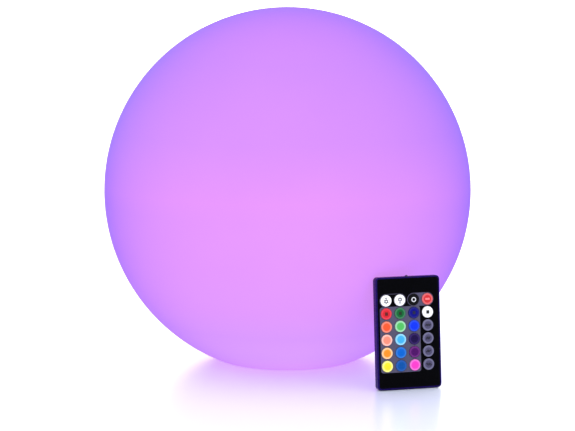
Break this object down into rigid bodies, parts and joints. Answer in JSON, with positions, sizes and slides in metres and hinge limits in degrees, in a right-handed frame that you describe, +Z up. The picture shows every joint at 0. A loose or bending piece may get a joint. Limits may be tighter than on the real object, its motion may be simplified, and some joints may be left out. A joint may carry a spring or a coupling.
{
  "type": "floating pool light",
  "caption": "Glowing translucent ball light with a flat base ring and a screw-in light module, with its keypad handset leaning on it.",
  "frame": {"origin": "centre of the globe's flat base ring, on the surface that the light stands on", "axes": "+Z up along the globe's axis; -Y is the side that the handset leans on"},
  "size_m": [0.3, 0.2998, 0.2892],
  "materials": {
    "globe_shell": "translucent, satin, lit from inside",
    "base_plastic": "fine moulded",
    "seal_silicone": "soft satin",
    "ring_steel": "drawn wire",
    "button_rubber": "soft matt",
    "plug_rubber": "soft matt",
    "switch_plastic": "moulded",
    "plunger_plastic": "moulded",
    "socket_plastic": "moulded",
    "socket_pin": "plated",
    "foam_tape": "open foam",
    "battery_wrap": "foil pouch",
    "lead_insulation": "smooth",
    "control_laminate": "solder mask",
    "lamp_laminate": "white solder mask",
    "chip_epoxy": "moulded",
    "spacer_brass": "turned",
    "lamp_body": "moulded",
    "receiver_epoxy": "polished",
    "dome_clear": "frosted clear",
    "screw_steel": "zinc plated",
    "case_black": "gloss black",
    "overlay_film": "gloss printed film",
    "handset_laminate": "solder mask",
    "contact_steel": "stamped",
    "emitter_epoxy": "dark clear",
    "tray_plastic": "gloss black",
    "cell_steel": "stamped",
    "key_white": "glossy, domed, pale rim",
    "key_black": "glossy, domed, pale rim",
    "key_signal_red": "glossy, domed, pale rim",
    "key_red": "glossy, domed, pale rim",
    "key_green": "glossy, domed, pale rim",
    "key_navy": "glossy, domed, pale rim",
    "key_orange_red": "glossy, domed, pale rim",
    "key_light_green": "glossy, domed, pale rim",
    "key_mid_blue": "glossy, domed, pale rim",
    "key_grey": "glossy, domed, pale rim",
    "key_salmon": "glossy, domed, pale rim",
    "key_sky_blue": "glossy, domed, pale rim",
    "key_indigo": "glossy, domed, pale rim",
    "key_amber": "glossy, domed, pale rim",
    "key_azure": "glossy, domed, pale rim",
    "key_purple": "glossy, domed, pale rim",
    "key_yellow": "glossy, domed, pale rim",
    "key_teal": "glossy, domed, pale rim",
    "key_magenta": "glossy, domed, pale rim"
  },
  "bodies": {
    "globe": {"globe": "globe_shell"},
    "seal": {"base_gasket": "seal_silicone"},
    "light_base": {"light_base": "base_plastic", "tact_switch": "switch_plastic", "charging_socket": "socket_plastic", "charging_pin": "socket_pin", "battery_pad": "foam_tape", "battery_pack": "battery_wrap", "battery_leads": "lead_insulation", "control_board": "control_laminate", "control_chips": "chip_epoxy", "board_spacers": "spacer_brass", "led_board": "lamp_laminate", "rgb_leds": "lamp_body", "ir_receiver": "receiver_epoxy", "dome_seal": "seal_silicone", "lens_dome": "dome_clear", "dome_screws": "screw_steel"},
    "bail": {"hanging_ring": "ring_steel"},
    "button": {"power_button": "button_rubber", "switch_plunger": "plunger_plastic"},
    "plug": {"port_plug": "plug_rubber"},
    "handset": {"handset_front_case": "case_black", "handset_back_case": "case_black", "handset_overlay": "overlay_film", "handset_board": "handset_laminate", "handset_chips": "chip_epoxy", "key_contacts": "contact_steel", "ir_emitter": "emitter_epoxy", "battery_contacts": "contact_steel"},
    "tray": {"battery_tray": "tray_plastic", "coin_cell": "cell_steel"},
    "key_brighter": {"key_brighter": "key_white"},
    "key_dimmer": {"key_dimmer": "key_white"},
    "key_off": {"key_off": "key_black"},
    "key_on": {"key_on": "key_signal_red"},
    "key_red": {"key_red": "key_red"},
    "key_green": {"key_green": "key_green"},
    "key_blue": {"key_blue": "key_navy"},
    "key_white": {"key_white": "key_white"},
    "key_orange_red": {"key_orange_red": "key_orange_red"},
    "key_light_green": {"key_light_green": "key_light_green"},
    "key_mid_blue": {"key_mid_blue": "key_mid_blue"},
    "key_flash": {"key_flash": "key_grey"},
    "key_salmon": {"key_salmon": "key_salmon"},
    "key_sky_blue": {"key_sky_blue": "key_sky_blue"},
    "key_indigo": {"key_indigo": "key_indigo"},
    "key_strobe": {"key_strobe": "key_grey"},
    "key_amber": {"key_amber": "key_amber"},
    "key_azure": {"key_azure": "key_azure"},
    "key_purple": {"key_purple": "key_purple"},
    "key_fade": {"key_fade": "key_grey"},
    "key_yellow": {"key_yellow": "key_yellow"},
    "key_teal": {"key_teal": "key_teal"},
    "key_magenta": {"key_magenta": "key_magenta"},
    "key_smooth": {"key_smooth": "key_grey"}
  },
  "joints": [
    {"name": "base_turn", "type": "hinge", "parent": "seal", "child": "light_base", "pos_m": [0, 0, 0], "axis": [0, 0, -1], "range_deg": [0, 900]},
    {"name": "base_drop", "type": "slide", "parent": "globe", "child": "seal", "axis": [0, 0, -1], "range_m": [0, 0.01]},
    {"name": "bail_swing", "type": "hinge", "parent": "light_base", "child": "bail", "pos_m": [0, 0, 0.0055], "axis": [-1, 0, 0], "range_deg": [0, 180]},
    {"name": "button_press", "type": "slide", "parent": "light_base", "child": "button", "axis": [0, 0, 1], "range_m": [0, 0.0006], "stiffness_N_per_m": 800, "springref_m": -0.001},
    {"name": "charging_plug_pull", "type": "slide", "parent": "light_base", "child": "plug", "axis": [0, 0, -1], "range_m": [0, 0.01]},
    {"name": "handset_lift", "type": "slide", "parent": "globe", "child": "handset", "axis": [0.4218, -0.5675, 0.7071], "range_m": [0, 0.15]},
    {"name": "battery_tray_slide", "type": "slide", "parent": "handset", "child": "tray", "axis": [0.0255, -0.0833, -0.9962], "range_m": [0, 0.024]},
    {"name": "key_brighter_press", "type": "slide", "parent": "handset", "child": "key_brighter", "axis": [-0.2913, 0.9527, -0.0872], "range_m": [0, 0.00025], "stiffness_N_per_m": 1000, "springref_m": -0.0012},
    {"name": "key_dimmer_press", "type": "slide", "parent": "handset", "child": "key_dimmer", "axis": [-0.2913, 0.9527, -0.0872], "range_m": [0, 0.00025], "stiffness_N_per_m": 1000, "springref_m": -0.0012},
    {"name": "key_off_press", "type": "slide", "parent": "handset", "child": "key_off", "axis": [-0.2913, 0.9527, -0.0872], "range_m": [0, 0.00025], "stiffness_N_per_m": 1000, "springref_m": -0.0012},
    {"name": "key_on_press", "type": "slide", "parent": "handset", "child": "key_on", "axis": [-0.2913, 0.9527, -0.0872], "range_m": [0, 0.00025], "stiffness_N_per_m": 1000, "springref_m": -0.0012},
    {"name": "key_red_press", "type": "slide", "parent": "handset", "child": "key_red", "axis": [-0.2913, 0.9527, -0.0872], "range_m": [0, 0.00025], "stiffness_N_per_m": 1000, "springref_m": -0.0012},
    {"name": "key_green_press", "type": "slide", "parent": "handset", "child": "key_green", "axis": [-0.2913, 0.9527, -0.0872], "range_m": [0, 0.00025], "stiffness_N_per_m": 1000, "springref_m": -0.0012},
    {"name": "key_blue_press", "type": "slide", "parent": "handset", "child": "key_blue", "axis": [-0.2913, 0.9527, -0.0872], "range_m": [0, 0.00025], "stiffness_N_per_m": 1000, "springref_m": -0.0012},
    {"name": "key_white_press", "type": "slide", "parent": "handset", "child": "key_white", "axis": [-0.2913, 0.9527, -0.0872], "range_m": [0, 0.00025], "stiffness_N_per_m": 1000, "springref_m": -0.0012},
    {"name": "key_orange_red_press", "type": "slide", "parent": "handset", "child": "key_orange_red", "axis": [-0.2913, 0.9527, -0.0872], "range_m": [0, 0.00025], "stiffness_N_per_m": 1000, "springref_m": -0.0012},
    {"name": "key_light_green_press", "type": "slide", "parent": "handset", "child": "key_light_green", "axis": [-0.2913, 0.9527, -0.0872], "range_m": [0, 0.00025], "stiffness_N_per_m": 1000, "springref_m": -0.0012},
    {"name": "key_mid_blue_press", "type": "slide", "parent": "handset", "child": "key_mid_blue", "axis": [-0.2913, 0.9527, -0.0872], "range_m": [0, 0.00025], "stiffness_N_per_m": 1000, "springref_m": -0.0012},
    {"name": "key_flash_press", "type": "slide", "parent": "handset", "child": "key_flash", "axis": [-0.2913, 0.9527, -0.0872], "range_m": [0, 0.00025], "stiffness_N_per_m": 1000, "springref_m": -0.0012},
    {"name": "key_salmon_press", "type": "slide", "parent": "handset", "child": "key_salmon", "axis": [-0.2913, 0.9527, -0.0872], "range_m": [0, 0.00025], "stiffness_N_per_m": 1000, "springref_m": -0.0012},
    {"name": "key_sky_blue_press", "type": "slide", "parent": "handset", "child": "key_sky_blue", "axis": [-0.2913, 0.9527, -0.0872], "range_m": [0, 0.00025], "stiffness_N_per_m": 1000, "springref_m": -0.0012},
    {"name": "key_indigo_press", "type": "slide", "parent": "handset", "child": "key_indigo", "axis": [-0.2913, 0.9527, -0.0872], "range_m": [0, 0.00025], "stiffness_N_per_m": 1000, "springref_m": -0.0012},
    {"name": "key_strobe_press", "type": "slide", "parent": "handset", "child": "key_strobe", "axis": [-0.2913, 0.9527, -0.0872], "range_m": [0, 0.00025], "stiffness_N_per_m": 1000, "springref_m": -0.0012},
    {"name": "key_amber_press", "type": "slide", "parent": "handset", "child": "key_amber", "axis": [-0.2913, 0.9527, -0.0872], "range_m": [0, 0.00025], "stiffness_N_per_m": 1000, "springref_m": -0.0012},
    {"name": "key_azure_press", "type": "slide", "parent": "handset", "child": "key_azure", "axis": [-0.2913, 0.9527, -0.0872], "range_m": [0, 0.00025], "stiffness_N_per_m": 1000, "springref_m": -0.0012},
    {"name": "key_purple_press", "type": "slide", "parent": "handset", "child": "key_purple", "axis": [-0.2913, 0.9527, -0.0872], "range_m": [0, 0.00025], "stiffness_N_per_m": 1000, "springref_m": -0.0012},
    {"name": "key_fade_press", "type": "slide", "parent": "handset", "child": "key_fade", "axis": [-0.2913, 0.9527, -0.0872], "range_m": [0, 0.00025], "stiffness_N_per_m": 1000, "springref_m": -0.0012},
    {"name": "key_yellow_press", "type": "slide", "parent": "handset", "child": "key_yellow", "axis": [-0.2913, 0.9527, -0.0872], "range_m": [0, 0.00025], "stiffness_N_per_m": 1000, "springref_m": -0.0012},
    {"name": "key_teal_press", "type": "slide", "parent": "handset", "child": "key_teal", "axis": [-0.2913, 0.9527, -0.0872], "range_m": [0, 0.00025], "stiffness_N_per_m": 1000, "springref_m": -0.0012},
    {"name": "key_magenta_press", "type": "slide", "parent": "handset", "child": "key_magenta", "axis": [-0.2913, 0.9527, -0.0872], "range_m": [0, 0.00025], "stiffness_N_per_m": 1000, "springref_m": -0.0012},
    {"name": "key_smooth_press", "type": "slide", "parent": "handset", "child": "key_smooth", "axis": [-0.2913, 0.9527, -0.0872], "range_m": [0, 0.00025], "stiffness_N_per_m": 1000, "springref_m": -0.0012}
  ],
  "couplings": [
    {"joint": "base_drop", "follows": "base_turn", "m_per_rad": 0.00063662}
  ]
}
